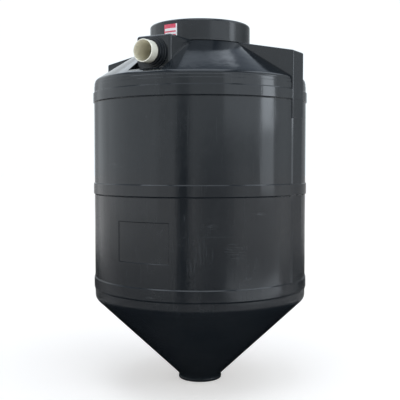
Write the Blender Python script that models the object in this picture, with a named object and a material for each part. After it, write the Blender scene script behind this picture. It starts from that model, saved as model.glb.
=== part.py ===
"""Small household biogas digester: a rotationally moulded polyethylene tank.

Metres, +Z up. The origin is on the tank's axis, at the flat end of the closed
bottom spout. The inlet points along -Y, the outlet along +Y, and the two blank
side boxes stand at +X and -X. An azimuth is measured from -Y and grows
anticlockwise seen from above, so +X is at 90 degrees.
"""

import math

import bmesh
import bpy
from mathutils import Matrix

# Shell of the tank
SKIN = 0.006
GAP = 0.0003
WELD_REACH = 0.00005
WALL_R = 0.570
BAND_R = 0.575
BAND_INNER_R = 0.564
BAND_EDGE = 0.004

# Bottom: closed spout, cone and the knuckle under the lowest band
SPOUT_R = 0.1177
SPOUT_TOP = 0.029
SPOUT_ROUND = 0.006
CONE_ANGLE = math.radians(43.7)
KNUCKLE_R = 0.045

# Bands, as heights over the bottom of the spout
LOW_BAND = (0.520, 0.578)
MID_BAND = (1.020, 1.077)
TOP_BAND = (1.501, 1.553)

# Shoulder and neck
SHOULDER_ANGLE = math.radians(32.0)
SHOULDER_TOP = (0.270, 1.801)
SHOULDER_ROUND = 0.040
RING_R = 0.5695
NECK_R = 0.237
NECK_WALL = 0.007
NECK_LAND_R = 0.2755

# Lid
LID_R = 0.270
LID_BOTTOM = 1.8025
LID_TOP = 1.9125
LID_ROUND = 0.014
LID_SKIN = 0.006

# Boxes over the shoulder: they are drawn from under the neck's land, and hollow from a little further out
BOX_ROOT_R = 0.2155
BOX_HOLLOW_R = 0.3055
PIPE_BOX_FACE = 0.4575
PIPE_BOX_HALF = 0.100
PIPE_BOX_TOP = 1.805
PIPE_BOX_EDGE = 0.016
LEDGE_Z = 1.6325
LEDGE_END = 0.560
SIDE_BOX_FACE = 0.573
SIDE_BOX_HALF = 0.067
SIDE_BOX_TOP = (1.741, 1.799)
SIDE_BOX_BOTTOM = 1.402
SIDE_BOX_EDGE = 0.006
STRIP_FACE = 0.5708

# Recessed label panel in the lower wall, under the inlet
PANEL_HALF_ANGLE = 15.15
PANEL_Z = (0.694, 0.897)
PANEL_DEPTH = 0.003

# Pipes and what surrounds them
PIPE_Z = 1.718
PIPE_MOUTH = 0.549
INLET_R = 0.055
INLET_WALL = 0.004
OUTLET_R = 0.030
OUTLET_WALL = 0.0035
BEND_R = 0.062
DROP_AT = 0.352
INLET_DROP_END = 0.605
OUTLET_DROP_END = 1.155
BOSS_STEPS = ((0.023, 0.007), (0.016, 0.019), (0.009, 0.034))
SEAL_WIDTH = 0.004
SEAL_REACH = 0.041

# Segments of the wall, in degrees: their ends run into the side boxes and are trimmed there
FRONT_HALF = 28.0
TRIM_HALF = 5.0

# Flat faces to a turn or to a round
ROUND_STEPS = 72
HALF_TURN_STEPS = 34
SEGMENT_STEPS = 12
SHOULDER_STEPS = 18
PANEL_STEPS = 8
BOSS_SIDES = 36
PIPE_SIDES = 24
BEND_STEPS = 6
CORNER_STEPS = 4
EDGE_STEPS = 3
SHARP_ANGLE = math.radians(30)

# Cutters reach past what they cut, and a form of the tank's inside has a flat tip and floor
CUT = 0.020
SLOT_DEPTH = 0.060
FORM_TIP_R = 0.060
HOLLOW_FLOOR = 1.200

# Colours as linear RGB
BLACK_PE = (0.030, 0.033, 0.037)
CREAM_PVC = (0.60, 0.60, 0.50)
BLACK_RUBBER = (0.012, 0.012, 0.013)


def clear_scene():
    for item in list(bpy.data.objects):
        bpy.data.objects.remove(item, do_unlink=True)


def make_material(name, colour, roughness):
    material = bpy.data.materials.new(name)
    material.use_nodes = True
    shader = material.node_tree.nodes["Principled BSDF"]
    shader.inputs["Base Color"].default_value = (*colour, 1.0)
    shader.inputs["Roughness"].default_value = roughness
    shader.inputs["Metallic"].default_value = 0.0
    return material


def finish_mesh(name, bm, material):
    """Turns a bmesh into a smooth-shaded object with its faces pointing out."""
    bmesh.ops.remove_doubles(bm, verts=bm.verts, dist=1e-6)
    bmesh.ops.recalc_face_normals(bm, faces=bm.faces)
    mesh = bpy.data.meshes.new(name)
    bm.to_mesh(mesh)
    bm.free()
    mesh.shade_smooth()
    mesh.set_sharp_from_angle(angle=SHARP_ANGLE)
    item = bpy.data.objects.new(name, mesh)
    bpy.context.scene.collection.objects.link(item)
    if material:
        mesh.materials.append(material)
    return item


def turned(name, profile, material, start=None, sweep=360.0, steps=ROUND_STEPS):
    """Turns a closed (radius, height) outline about the Z axis.

    A full turn is closed on itself, or on the axis where the outline ends there.
    A part turn begins at azimuth start and has flat ends.
    """
    bm = bmesh.new()
    verts = [bm.verts.new((0.0, -r, z)) for r, z in profile]
    full = start is None
    if full:
        pairs = zip(verts, verts[1:] + verts[:1])
        geometry = [bm.edges.new(pair) for pair in pairs if any(v.co.y for v in pair)]
    else:
        geometry = [bm.faces.new(verts)]
        bmesh.ops.rotate(bm, verts=verts, matrix=Matrix.Rotation(math.radians(start), 3, "Z"))
    bmesh.ops.spin(bm, geom=verts + geometry, axis=(0, 0, 1), cent=(0, 0, 0),
                   angle=math.radians(sweep), steps=steps, use_merge=full)
    return finish_mesh(name, bm, material)


def azimuth_frame(degrees):
    """Carries a piece drawn facing -Y round to the given azimuth."""
    return Matrix.Rotation(math.radians(degrees), 4, "Z")


def arc(centre, radius, start, end, steps=CORNER_STEPS):
    """Points on an arc, with its angles in degrees from the +radius direction."""
    points = []
    for k in range(steps + 1):
        angle = math.radians(start + (end - start) * k / steps)
        points.append((centre[0] + radius * math.cos(angle), centre[1] + radius * math.sin(angle)))
    return points


def extruded(name, outline, half, material=None, edge=0.0):
    """Extrudes an outline of (reach towards -Y, height) points to both sides of X = 0.

    The edges that touch the outer face are rounded where an edge width is given.
    """
    bm = bmesh.new()
    face = bm.faces.new([bm.verts.new((-half, -reach, z)) for reach, z in outline])
    grown = bmesh.ops.extrude_face_region(bm, geom=[face])
    moved = [v for v in grown["geom"] if isinstance(v, bmesh.types.BMVert)]
    bmesh.ops.translate(bm, vec=(2 * half, 0, 0), verts=moved)
    if edge:
        front = -max(reach for reach, z in outline)
        rim = [e for e in bm.edges if min(v.co.y for v in e.verts) < front + GAP]
        bmesh.ops.bevel(bm, geom=rim, offset=edge, segments=EDGE_STEPS, profile=0.5, affect="EDGES")
    return finish_mesh(name, bm, material)


def as_cutter(item):
    item.hide_render = True
    item.display_type = "WIRE"
    return item


def combine(item, other, operation="DIFFERENCE"):
    modifier = item.modifiers.new(operation.lower() + " " + other.name, "BOOLEAN")
    modifier.operation = operation
    modifier.solver = "EXACT"
    modifier.object = other


def weld(item):
    """Merges the points that several cuts leave within a hair of each other."""
    modifier = item.modifiers.new("weld slivers", "WELD")
    modifier.merge_threshold = WELD_REACH


def seam_angle(radius):
    """Angle, in degrees, that leaves one gap between two segments at a radius."""
    return math.degrees(GAP / radius)


def shoulder_height(radius):
    """Height of the shoulder's outer surface at a radius."""
    return SHOULDER_TOP[1] - (radius - SHOULDER_TOP[0]) * math.tan(SHOULDER_ANGLE)


def shoulder_tangents():
    """Ends of the round between the shoulder and its upright ring, outside."""
    corner = (RING_R, shoulder_height(RING_R))
    reach = SHOULDER_ROUND * math.tan((math.pi / 2 - SHOULDER_ANGLE) / 2)
    upper = (corner[0] - reach * math.cos(SHOULDER_ANGLE), corner[1] + reach * math.sin(SHOULDER_ANGLE))
    lower = (corner[0], corner[1] - reach)
    return upper, lower


def make_bottom(plastic):
    """Closed spout, cone and the round knuckle that carries the wall."""
    spout = [(0.0, 0.0)]
    spout += arc((SPOUT_R - SPOUT_ROUND, SPOUT_ROUND), SPOUT_ROUND, -90, 0, EDGE_STEPS)
    inner_r, top = SPOUT_R - SKIN, SPOUT_TOP - GAP
    spout += [(SPOUT_R, top), (inner_r, top), (inner_r, SKIN), (0.0, SKIN)]
    turned("bottom_spout", spout, plastic, steps=BOSS_SIDES)

    along = (math.cos(CONE_ANGLE), math.sin(CONE_ANGLE))
    corner = (WALL_R, SPOUT_TOP + (WALL_R - SPOUT_R) * math.tan(CONE_ANGLE))
    reach = KNUCKLE_R * math.tan((math.pi / 2 - CONE_ANGLE) / 2)
    tangent = (corner[0] - reach * along[0], corner[1] - reach * along[1])
    inner_tangent = (tangent[0] - SKIN * along[1], tangent[1] + SKIN * along[0])
    cone = [(SPOUT_R, SPOUT_TOP), tangent, inner_tangent, (SPOUT_R - SKIN / along[1], SPOUT_TOP)]
    turned("bottom_cone", cone, plastic)

    centre = (WALL_R - KNUCKLE_R, corner[1] + reach)
    start = math.degrees(CONE_ANGLE) - 90
    top = LOW_BAND[0] - GAP
    outer = arc(centre, KNUCKLE_R, start, 0) + [(WALL_R, top)]
    inner = [(WALL_R - SKIN, top)] + arc(centre, KNUCKLE_R - SKIN, 0, start)
    for side, end in ((outer, 0), (inner, -1)):
        side[end] = (side[end][0] + GAP * along[0], side[end][1] + GAP * along[1])
    turned("cone_knuckle", outer + inner, plastic)


def band_outline(low, high):
    """Section of a raised band with eased outer edges."""
    return [(BAND_INNER_R, low), (BAND_R - BAND_EDGE / 2, low), (BAND_R, low + BAND_EDGE),
            (BAND_R, high - BAND_EDGE), (BAND_R - BAND_EDGE / 2, high), (BAND_INNER_R, high)]


def sheet_outline(inner, outer, low, high):
    """Section of an upright sheet that keeps one gap to what lies under and over it."""
    return [(inner, low + GAP), (outer, low + GAP), (outer, high - GAP), (inner, high - GAP)]


def wall_names(course):
    """Name, first azimuth and last azimuth of a course's six wall segments."""
    edge = 90.0 - TRIM_HALF
    seam = seam_angle(WALL_R)
    return [
        (course + "_front", -FRONT_HALF, FRONT_HALF),
        (course + "_front_right", FRONT_HALF + seam, edge),
        (course + "_back_right", 180.0 - edge, 180.0 - FRONT_HALF - seam),
        (course + "_back", 180.0 - FRONT_HALF, 180.0 + FRONT_HALF),
        (course + "_back_left", 180.0 + FRONT_HALF + seam, 180.0 + edge),
        (course + "_front_left", 360.0 - edge, 360.0 - FRONT_HALF - seam),
    ]


def trim_at_boxes(item):
    """Ends a wall or ring flush with the sides of the boxes and strips at +X and -X."""
    for side in ("right", "left"):
        combine(item, bpy.data.objects[side + "_column"])


def make_columns():
    """Upright slots through the wall at +X and -X, where the boxes and strips go."""
    inner, outer = BAND_INNER_R - SLOT_DEPTH, BAND_R + CUT
    low, high = LOW_BAND[1], SIDE_BOX_TOP[0]
    outline = [(inner, low), (outer, low), (outer, high), (inner, high)]
    for side, azimuth in (("right", 90.0), ("left", 270.0)):
        column = as_cutter(extruded(side + "_column", outline, SIDE_BOX_HALF + GAP))
        column.matrix_world = azimuth_frame(azimuth)


def half_ring(name, section, plastic):
    """Front and back halves of a ring that the side boxes interrupt."""
    edge = 90.0 - TRIM_HALF
    for part, middle in (("front", 0.0), ("back", 180.0)):
        ring = turned(f"{name}_{part}", section, plastic, middle - edge, 2 * edge, HALF_TURN_STEPS)
        trim_at_boxes(ring)


def make_walls(plastic):
    """Upright wall in two courses of six segments, with the bands under, between and over them."""
    courses = (("lower_wall", LOW_BAND[1], MID_BAND[0]), ("upper_wall", MID_BAND[1], TOP_BAND[0]))
    for course, low, high in courses:
        section = sheet_outline(WALL_R - SKIN, WALL_R, low, high)
        for name, first, last in wall_names(course):
            segment = turned(name, section, plastic, first, last - first, SEGMENT_STEPS)
            trim_at_boxes(segment)
    turned("low_band", band_outline(*LOW_BAND), plastic)
    turned("mid_band", band_outline(*MID_BAND), plastic)
    half_ring("top_band", band_outline(*TOP_BAND), plastic)


def make_label_panel(plastic):
    """Panel set back in the wall under the inlet: the wall gets an opening, and the panel closes it."""
    low, high = PANEL_Z
    inner, outer = WALL_R - 2 * SKIN, WALL_R + SKIN
    half = PANEL_HALF_ANGLE
    through = [(inner, low), (outer, low), (outer, high), (inner, high)]
    opening = as_cutter(turned("label_opening", through, None, -half, 2 * half, PANEL_STEPS))
    combine(bpy.data.objects["lower_wall_front"], opening)
    face_r = WALL_R - PANEL_DEPTH
    half -= seam_angle(WALL_R)
    panel = sheet_outline(face_r - SKIN, face_r, low, high)
    turned("label_panel", panel, plastic, -half, 2 * half, PANEL_STEPS)


def make_shoulder(plastic):
    """Upright ring in two halves, the sloping shoulder in quarters, and the neck."""
    upper, lower = shoulder_tangents()
    centre = (RING_R - SHOULDER_ROUND, lower[1])
    turn_end = 90 - math.degrees(SHOULDER_ANGLE)
    foot = TOP_BAND[1] + GAP
    outer = [(RING_R, foot)] + arc(centre, SHOULDER_ROUND, 0, turn_end)
    inner = arc(centre, SHOULDER_ROUND - SKIN, turn_end, 0) + [(RING_R - SKIN, foot)]
    half_ring("shoulder_ring", outer + inner, plastic)

    along = (math.cos(SHOULDER_ANGLE), -math.sin(SHOULDER_ANGLE))
    upright_skin = SKIN / along[0]
    first = (NECK_LAND_R, shoulder_height(NECK_LAND_R))
    last = (upper[0] - GAP * along[0], upper[1] - GAP * along[1])
    inner_last = (last[0] + SKIN * along[1], last[1] - SKIN * along[0])
    section = [first, last, inner_last, (first[0], first[1] - upright_skin)]
    seam = seam_angle(SHOULDER_TOP[0]) / 2
    for name, begin in (("shoulder_front_right", 0.0), ("shoulder_back_right", 90.0),
                        ("shoulder_back_left", 180.0), ("shoulder_front_left", 270.0)):
        turned(name, section, plastic, begin + seam, 90.0 - 2 * seam, SHOULDER_STEPS)

    land = NECK_LAND_R - GAP
    land_z = shoulder_height(land)
    under = SHOULDER_TOP[1] - SKIN
    inner_r = NECK_R - NECK_WALL
    neck_top = LID_TOP - LID_SKIN - GAP
    neck = [(inner_r, under), (land - 2 * SKIN, under), (land, land_z - upright_skin), (land, land_z)]
    neck += [SHOULDER_TOP, (NECK_R, SHOULDER_TOP[1]), (NECK_R, neck_top), (inner_r, neck_top)]
    turned("neck", neck, plastic)


def make_lid(plastic):
    """Deep cap with a rounded top edge that drops over the neck."""
    centre = (LID_R - LID_ROUND, LID_TOP - LID_ROUND)
    outer = [(LID_R, LID_BOTTOM)] + arc(centre, LID_ROUND, 0, 90) + [(0.0, LID_TOP)]
    inner = [(0.0, LID_TOP - LID_SKIN)] + arc(centre, LID_ROUND - LID_SKIN, 90, 0, EDGE_STEPS)
    inner += [(LID_R - LID_SKIN, LID_BOTTOM)]
    turned("lid", outer + inner, plastic)


def solid_under(name, drop, floor, wall_r):
    """Solid of the tank's upper form, sunk by drop square to the shoulder, as a cutter."""
    sink = drop / math.cos(SHOULDER_ANGLE)
    knee = shoulder_height(wall_r) - sink
    top = shoulder_height(FORM_TIP_R) - sink
    profile = [(0.0, floor), (wall_r, floor), (wall_r, knee), (FORM_TIP_R, top), (0.0, top)]
    return as_cutter(turned(name, profile, None))


def lying(azimuth, start):
    """Frame of a turned piece that lies along the pipe's axis and points out of the tank."""
    place = Matrix.Translation((0, -start, PIPE_Z))
    return azimuth_frame(azimuth) @ place @ Matrix.Rotation(math.pi / 2, 4, "X")


def rod(name, radius, azimuth, start, end):
    """Cylinder on the pipe's axis, as a cutter."""
    outline = [(0.0, 0.0), (radius, 0.0), (radius, end - start), (0.0, end - start)]
    item = as_cutter(turned(name, outline, None, steps=BOSS_SIDES))
    item.matrix_world = lying(azimuth, start)
    return item


def box_and_seat(name, azimuth, outline, core_outline, half, edge, plastic):
    """A hollow box drawn in its radial plane, and the opening that it needs in the shoulder."""
    box = extruded(name, outline, half, plastic, edge)
    core = as_cutter(extruded(name + "_core", core_outline, half - SKIN))
    face = max(reach for reach, z in outline)
    floor = min(z for reach, z in outline)
    grown = []
    for reach, z in outline:
        grown.append((reach + (GAP if reach == face else 0.0), z + (-GAP if z == floor else GAP)))
    seat = as_cutter(extruded(name + "_seat", grown, half + GAP, None, edge))
    for item in (box, core, seat):
        item.matrix_world = azimuth_frame(azimuth)
    return box, core, seat


def ledge_block(name, azimuth, half, start, end, floor):
    """Block over the ledge in front of a pipe box, as a cutter."""
    top = PIPE_BOX_TOP + CUT
    item = as_cutter(extruded(name, [(start, floor), (end, floor), (end, top), (start, top)], half))
    item.matrix_world = azimuth_frame(azimuth)
    return item


def make_ledge(name, azimuth):
    """Floor, sides and back of the niche that a pipe box stands in, up to the shoulder's outer form."""
    root = PIPE_BOX_FACE - SKIN / 2
    half = PIPE_BOX_HALF
    ledge = ledge_block(name + "_ledge", azimuth, half + SKIN, root, LEDGE_END, LEDGE_Z - SKIN)
    inside = ledge_block(name + "_niche", azimuth, half, root + SKIN / 3, LEDGE_END + CUT, LEDGE_Z)
    combine(ledge, inside)
    combine(ledge, bpy.data.objects["shoulder_form"], "INTERSECT")
    return ledge


def make_pipe_box(name, azimuth, pipe_r, plastic):
    """Short box that a pipe leaves through, over a ledge set into the shoulder."""
    low, high = LEDGE_Z - SKIN / 2, PIPE_BOX_TOP
    outline = [(BOX_ROOT_R, low), (PIPE_BOX_FACE, low), (PIPE_BOX_FACE, high), (BOX_ROOT_R, high)]
    inner_face = PIPE_BOX_FACE - SKIN
    core_outline = [(BOX_HOLLOW_R, low - CUT), (inner_face, low - CUT),
                    (inner_face, high - SKIN), (BOX_HOLLOW_R, high - SKIN)]
    box, core, seat = box_and_seat(name, azimuth, outline, core_outline,
                                   PIPE_BOX_HALF, PIPE_BOX_EDGE, plastic)
    combine(box, make_ledge(name, azimuth), "UNION")
    hollow = solid_under(name + "_hollow", SKIN, HOLLOW_FLOOR, RING_R - SKIN)
    keep_half, keep_floor = PIPE_BOX_HALF + 1.2 * SKIN, LEDGE_Z - 1.2 * SKIN
    combine(hollow, ledge_block(name + "_keep", azimuth, keep_half, inner_face - SKIN,
                                LEDGE_END + SLOT_DEPTH, keep_floor))
    hole = rod(name + "_hole", pipe_r + GAP, azimuth, inner_face - CUT, PIPE_BOX_FACE + CUT)
    for cutter in (core, hollow, hole, bpy.data.objects["lid_clearance"]):
        combine(box, cutter)
    weld(box)
    around = ledge_block(name + "_ledge_seat", azimuth, PIPE_BOX_HALF + SKIN + GAP,
                         PIPE_BOX_FACE - SKIN / 2 - GAP, LEDGE_END + CUT, LEDGE_Z - SKIN - GAP)
    return seat, around


def make_side_box(name, azimuth, plastic):
    """Blank box whose face runs down the wall to a step."""
    low = SIDE_BOX_BOTTOM
    face_top, land_top = SIDE_BOX_TOP
    rise = (land_top - face_top) / (SIDE_BOX_FACE - NECK_LAND_R)
    root_top = land_top + rise * (NECK_LAND_R - BOX_ROOT_R)
    outline = [(BOX_ROOT_R, low), (SIDE_BOX_FACE, low), (SIDE_BOX_FACE, face_top),
               (BOX_ROOT_R, root_top)]
    face = SIDE_BOX_FACE - SKIN
    core_top = face_top - SKIN
    core_outline = [(BOX_HOLLOW_R, low + SKIN), (face, low + SKIN), (face, core_top),
                    (BOX_HOLLOW_R, core_top + rise * (face - BOX_HOLLOW_R))]
    box, core, seat = box_and_seat(name, azimuth, outline, core_outline,
                                   SIDE_BOX_HALF, SIDE_BOX_EDGE, plastic)
    for cutter in (core, bpy.data.objects["tank_hollow"], bpy.data.objects["lid_clearance"]):
        combine(box, cutter)
    return seat


def make_boxes(plastic):
    """Inlet and outlet boxes on the shoulder, and the blank side boxes that run down the wall."""
    solid_under("tank_hollow", SKIN, HOLLOW_FLOOR, RING_R - SKIN)
    solid_under("shoulder_form", 0.0, SIDE_BOX_BOTTOM, RING_R)
    low, high = LEDGE_Z - CUT, LID_TOP + CUT
    inside = [(0.0, low), (NECK_LAND_R, low), (NECK_LAND_R, high), (0.0, high)]
    as_cutter(turned("lid_clearance", inside, None))
    front = make_pipe_box("inlet_box", 0.0, INLET_R, plastic)
    back = make_pipe_box("outlet_box", 180.0, OUTLET_R, plastic)
    right = make_side_box("right_box", 90.0, plastic)
    left = make_side_box("left_box", 270.0, plastic)
    for quarter, cutters in (("front_right", (*front, right)), ("back_right", (*back, right)),
                             ("back_left", (*back, left)), ("front_left", (*front, left))):
        for cutter in cutters:
            combine(bpy.data.objects["shoulder_" + quarter], cutter)


def make_strips(plastic):
    """Flat upright strips in the wall under the side boxes, between the bands."""
    courses = (("lower", LOW_BAND[1], MID_BAND[0]), ("upper", MID_BAND[1], SIDE_BOX_BOTTOM))
    for side, azimuth in (("right", 90.0), ("left", 270.0)):
        for part, low, high in courses:
            outline = sheet_outline(STRIP_FACE - SKIN, STRIP_FACE, low, high)
            strip = extruded(f"{side}_strip_{part}", outline, SIDE_BOX_HALF, plastic)
            strip.matrix_world = azimuth_frame(azimuth)


def tube(name, outer, wall, length, material):
    """Straight pipe along Z, from 0 to length."""
    section = [(outer - wall, 0.0), (outer, 0.0), (outer, length), (outer - wall, length)]
    return turned(name, section, material, steps=PIPE_SIDES)


def bend(name, outer, wall, material):
    """Quarter bend that begins along -Y at its own origin and ends going down."""
    bm = bmesh.new()
    edges = []
    for size in (outer, outer - wall):
        made = bmesh.ops.create_circle(bm, cap_ends=False, radius=size, segments=PIPE_SIDES,
                                       matrix=Matrix.Rotation(math.pi / 2, 4, "X"))
        edges += list({e for v in made["verts"] for e in v.link_edges})
    faces = bmesh.ops.bridge_loops(bm, edges=edges)["faces"]
    corners = list({v for f in faces for v in f.verts})
    borders = list({e for f in faces for e in f.edges})
    bmesh.ops.spin(bm, geom=corners + borders + faces, cent=(0, 0, -BEND_R), axis=(1, 0, 0),
                   angle=-math.pi / 2, steps=BEND_STEPS)
    return finish_mesh(name, bm, material)


def make_boss(name, azimuth, outer, plastic, rubber):
    """Stepped boss on the box's face round the pipe, and the seal at its mouth."""
    hole = outer + GAP
    profile = [(hole, GAP)]
    previous = GAP
    for width, reach in BOSS_STEPS:
        profile += [(outer + width, previous), (outer + width, reach)]
        previous = reach
    profile.append((hole, previous))
    boss = turned(name + "_boss", profile, plastic, steps=BOSS_SIDES)
    boss.matrix_world = lying(azimuth, PIPE_BOX_FACE)
    low, rim = previous + GAP, outer + SEAL_WIDTH
    ring = [(hole, low), (rim, low), (rim, SEAL_REACH), (hole, SEAL_REACH)]
    seal = turned(name + "_seal", ring, rubber, steps=BOSS_SIDES)
    seal.matrix_world = lying(azimuth, PIPE_BOX_FACE)


def make_pipework(name, azimuth, outer, wall, drop_end, plastic, rubber, pvc):
    """Pipe through its box, the boss and seal round it, and the bend and drop pipe inside."""
    frame = azimuth_frame(azimuth)
    inner_end = DROP_AT + BEND_R
    pipe = tube(name + "_pipe", outer, wall, PIPE_MOUTH - inner_end, pvc)
    pipe.matrix_world = lying(azimuth, inner_end)
    make_boss(name, azimuth, outer, plastic, rubber)
    elbow = bend(name + "_elbow", outer, wall, pvc)
    elbow.matrix_world = frame @ Matrix.Translation((0, GAP - inner_end, PIPE_Z))
    drop = tube(name + "_drop_pipe", outer, wall, PIPE_Z - BEND_R - GAP - drop_end, pvc)
    drop.matrix_world = frame @ Matrix.Translation((0, GAP - DROP_AT, drop_end))


def build():
    clear_scene()
    plastic = make_material("black polyethylene", BLACK_PE, 0.38)
    lid_plastic = make_material("black polyethylene lid", BLACK_PE, 0.32)
    pvc = make_material("cream pvc pipe", CREAM_PVC, 0.35)
    rubber = make_material("black rubber", BLACK_RUBBER, 0.6)
    make_bottom(plastic)
    make_columns()
    make_walls(plastic)
    make_label_panel(plastic)
    make_shoulder(plastic)
    make_lid(lid_plastic)
    make_boxes(plastic)
    make_strips(plastic)
    make_pipework("inlet", 0.0, INLET_R, INLET_WALL, INLET_DROP_END, plastic, rubber, pvc)
    make_pipework("outlet", 180.0, OUTLET_R, OUTLET_WALL, OUTLET_DROP_END, plastic, rubber, pvc)


build()
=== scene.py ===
"""Household biogas digester in black polyethylene: the finish of every surface.

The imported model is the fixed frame. The operators below model the one-piece tank,
its lid with a sticker, and the inlet and outlet fittings, and set a plain studio.
Metres, +Z up. The inlet points along -Y, the outlet along +Y, and the blank side
boxes stand at +X and -X. An azimuth is measured from -Y and grows towards +X.
"""

from collections import Counter
from math import asin, atan2, ceil, cos, hypot, pi, radians, sin, tan

import bmesh
import bpy
from bpy.props import FloatProperty, FloatVectorProperty, IntProperty, PointerProperty
from bpy.types import Node, NodeSocket, Operator, Panel, PropertyGroup, Scene
from mathutils import Matrix, Vector


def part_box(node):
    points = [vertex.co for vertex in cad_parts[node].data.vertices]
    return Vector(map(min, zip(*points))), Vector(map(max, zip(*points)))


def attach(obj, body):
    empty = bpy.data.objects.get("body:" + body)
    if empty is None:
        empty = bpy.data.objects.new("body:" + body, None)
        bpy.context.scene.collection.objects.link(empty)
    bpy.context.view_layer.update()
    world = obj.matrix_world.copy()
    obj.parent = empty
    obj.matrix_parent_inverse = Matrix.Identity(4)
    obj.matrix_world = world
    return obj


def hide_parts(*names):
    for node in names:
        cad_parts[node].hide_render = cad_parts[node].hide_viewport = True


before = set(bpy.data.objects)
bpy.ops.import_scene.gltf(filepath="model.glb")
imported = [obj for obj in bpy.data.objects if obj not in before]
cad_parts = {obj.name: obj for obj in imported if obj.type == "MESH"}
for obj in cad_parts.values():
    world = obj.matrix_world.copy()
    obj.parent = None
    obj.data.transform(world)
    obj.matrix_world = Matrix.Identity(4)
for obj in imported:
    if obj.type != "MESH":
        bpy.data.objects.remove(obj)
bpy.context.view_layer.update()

bl_info = {
    "name": "Biogas Digester",
    "version": (1, 0, 0),
    "blender": (4, 5, 0),
    "location": "3D View > Sidebar > Digester",
    "description": "Models and finishes a household biogas digester on its packed frame",
    "category": "Add Mesh",
}

# Radii and heights that the frame's solids give
SEAM = 0.0003
SKIN = 0.006
SPOUT_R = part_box("bottom_spout")[1].x
SPOUT_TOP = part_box("bottom_spout")[1].z + SEAM
WALL_R = -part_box("lower_wall_front")[0].y
BAND_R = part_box("mid_band")[1].x
BANDS = [(low.z, high.z) for low, high in map(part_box, ("low_band", "mid_band", "top_band_front"))]
RING_R = -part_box("shoulder_ring_front")[0].y
LAND_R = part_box("neck")[1].x + SEAM
LAND_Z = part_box("shoulder_front_right")[1].z
NECK_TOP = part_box("neck")[1].z
LID_R, LID_LOW, LID_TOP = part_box("lid")[1].x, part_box("lid")[0].z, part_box("lid")[1].z
SIDE_BOX_FACE, SIDE_BOX_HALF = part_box("right_box")[1].x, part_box("right_box")[1].y
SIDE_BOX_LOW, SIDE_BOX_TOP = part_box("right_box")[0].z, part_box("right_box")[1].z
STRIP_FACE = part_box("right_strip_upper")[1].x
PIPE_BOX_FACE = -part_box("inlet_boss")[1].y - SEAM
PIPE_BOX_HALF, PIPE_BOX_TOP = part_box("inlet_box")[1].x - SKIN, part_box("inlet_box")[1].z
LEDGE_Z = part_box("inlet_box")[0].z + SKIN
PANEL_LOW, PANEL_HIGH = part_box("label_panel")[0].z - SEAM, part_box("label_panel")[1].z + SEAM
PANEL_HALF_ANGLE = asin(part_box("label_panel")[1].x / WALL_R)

# Slopes and hidden sizes of the moulding, as its frame was drawn
CONE_ANGLE = radians(43.7)
KNUCKLE_ROUND = 0.045
SHOULDER_ANGLE = radians(32.0)
SHOULDER_ROUND = 0.024
NECK_R = 0.237
NECK_WALL = 0.007
STRIP_DRAFT = 0.0105
SIDE_BOX_FACE_TOP = 1.741
SIDE_BOX_SLOPE = (SIDE_BOX_TOP - SIDE_BOX_FACE_TOP) / (SIDE_BOX_FACE - LAND_R)
BOX_ROOT_R = 0.245
BOX_HOLLOW_R = 0.3055
LEDGE_END = 0.600
BEND_R = 0.062
DROP_AT = 0.352
BOSS_STEPS = ((0.023, 0.007), (0.016, 0.019), (0.009, 0.034))

# Small forms that the moulding has over its frame
SPOUT_BEAD_TOP = (0.0135, 0.0155)
SPOUT_BEAD_STEP = 0.0012
BAND_EDGE = 0.0012
GROOVE_RISES = (0.028, 0.044)
GROOVE_STEP = 0.0016
STRIP_EDGE = 0.0012
LID_BEAD_STEP = 0.0010
LID_PANEL_R = 0.205
LID_PANEL_DROP = 0.0025

# Where the side boxes and the sticker face, and each pipe's name, azimuth and wall
SIDES = (pi / 2, -pi / 2)
STICKER_AZIMUTH = radians(-4.3)
PIPES = (("inlet", 0.0, 0.004), ("outlet", pi, 0.0035))

# Names of the frame's nodes that the one-piece moulding stands for
OTHER_NODES = ("lid", "inlet_", "outlet_")
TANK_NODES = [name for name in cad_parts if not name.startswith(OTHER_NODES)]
TANK_NODES += ["inlet_box", "outlet_box"]


def linear(hex_colour):
    """Linear RGB of an sRGB hex colour."""
    channels = [int(hex_colour[k:k + 2], 16) / 255 for k in (1, 3, 5)]
    return tuple(c / 12.92 if c <= 0.04045 else ((c + 0.055) / 1.055) ** 2.4 for c in channels)


def size_property(name, description, default):
    return FloatProperty(name=name, description=description, default=default, unit="LENGTH", precision=4)


def colour_property(name, description, hex_colour):
    return FloatVectorProperty(name=name, description=description, default=linear(hex_colour),
                               subtype="COLOR", size=3, min=0.0, max=1.0)


def roughness_property(name, default):
    return FloatProperty(name=name, description="0 for a mirror, 1 for chalk", default=default, min=0, max=1)


class DigesterTank(PropertyGroup):
    sides: IntProperty(name="Sides", description="Flat faces round the tank", default=288, min=48)
    ring_gap: size_property("Ring Spacing", "Longest step between two rings", 0.045)
    wave_depth: size_property("Wave Depth", "How far the slow waves run in", 0.0008)
    wave_size: size_property("Wave Size", "Distance between two slow waves", 0.26)
    band_slope: FloatProperty(name="Band Slope", description="Fall of a band's upper edge per metre out",
                              default=0.9, min=0.1)
    side_box_round: size_property("Side Box Rounding", "Rounding of the blank boxes", 0.0078)
    pipe_box_round: size_property("Pipe Box Rounding", "Rounding of the pipes' boxes", 0.014)
    niche_round: size_property("Niche Rounding", "Rounding round the ledge before those boxes", 0.005)
    panel_depth: size_property("Panel Depth", "How far the label panel is set back", 0.004)


class DigesterLid(PropertyGroup):
    top_round: size_property("Top Rounding", "Rounding of the lid's top edge", 0.014)
    bead: size_property("Rim Bead", "Height of the bead round the lid's rim", 0.008)
    sticker_width: size_property("Sticker Width", "Width of the sticker, round the lid", 0.080)
    sticker_low: size_property("Sticker Bottom", "Height of the sticker's lower edge", 1.821)
    sticker_high: size_property("Sticker Top", "Height of the sticker's upper edge", 1.889)


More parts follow.
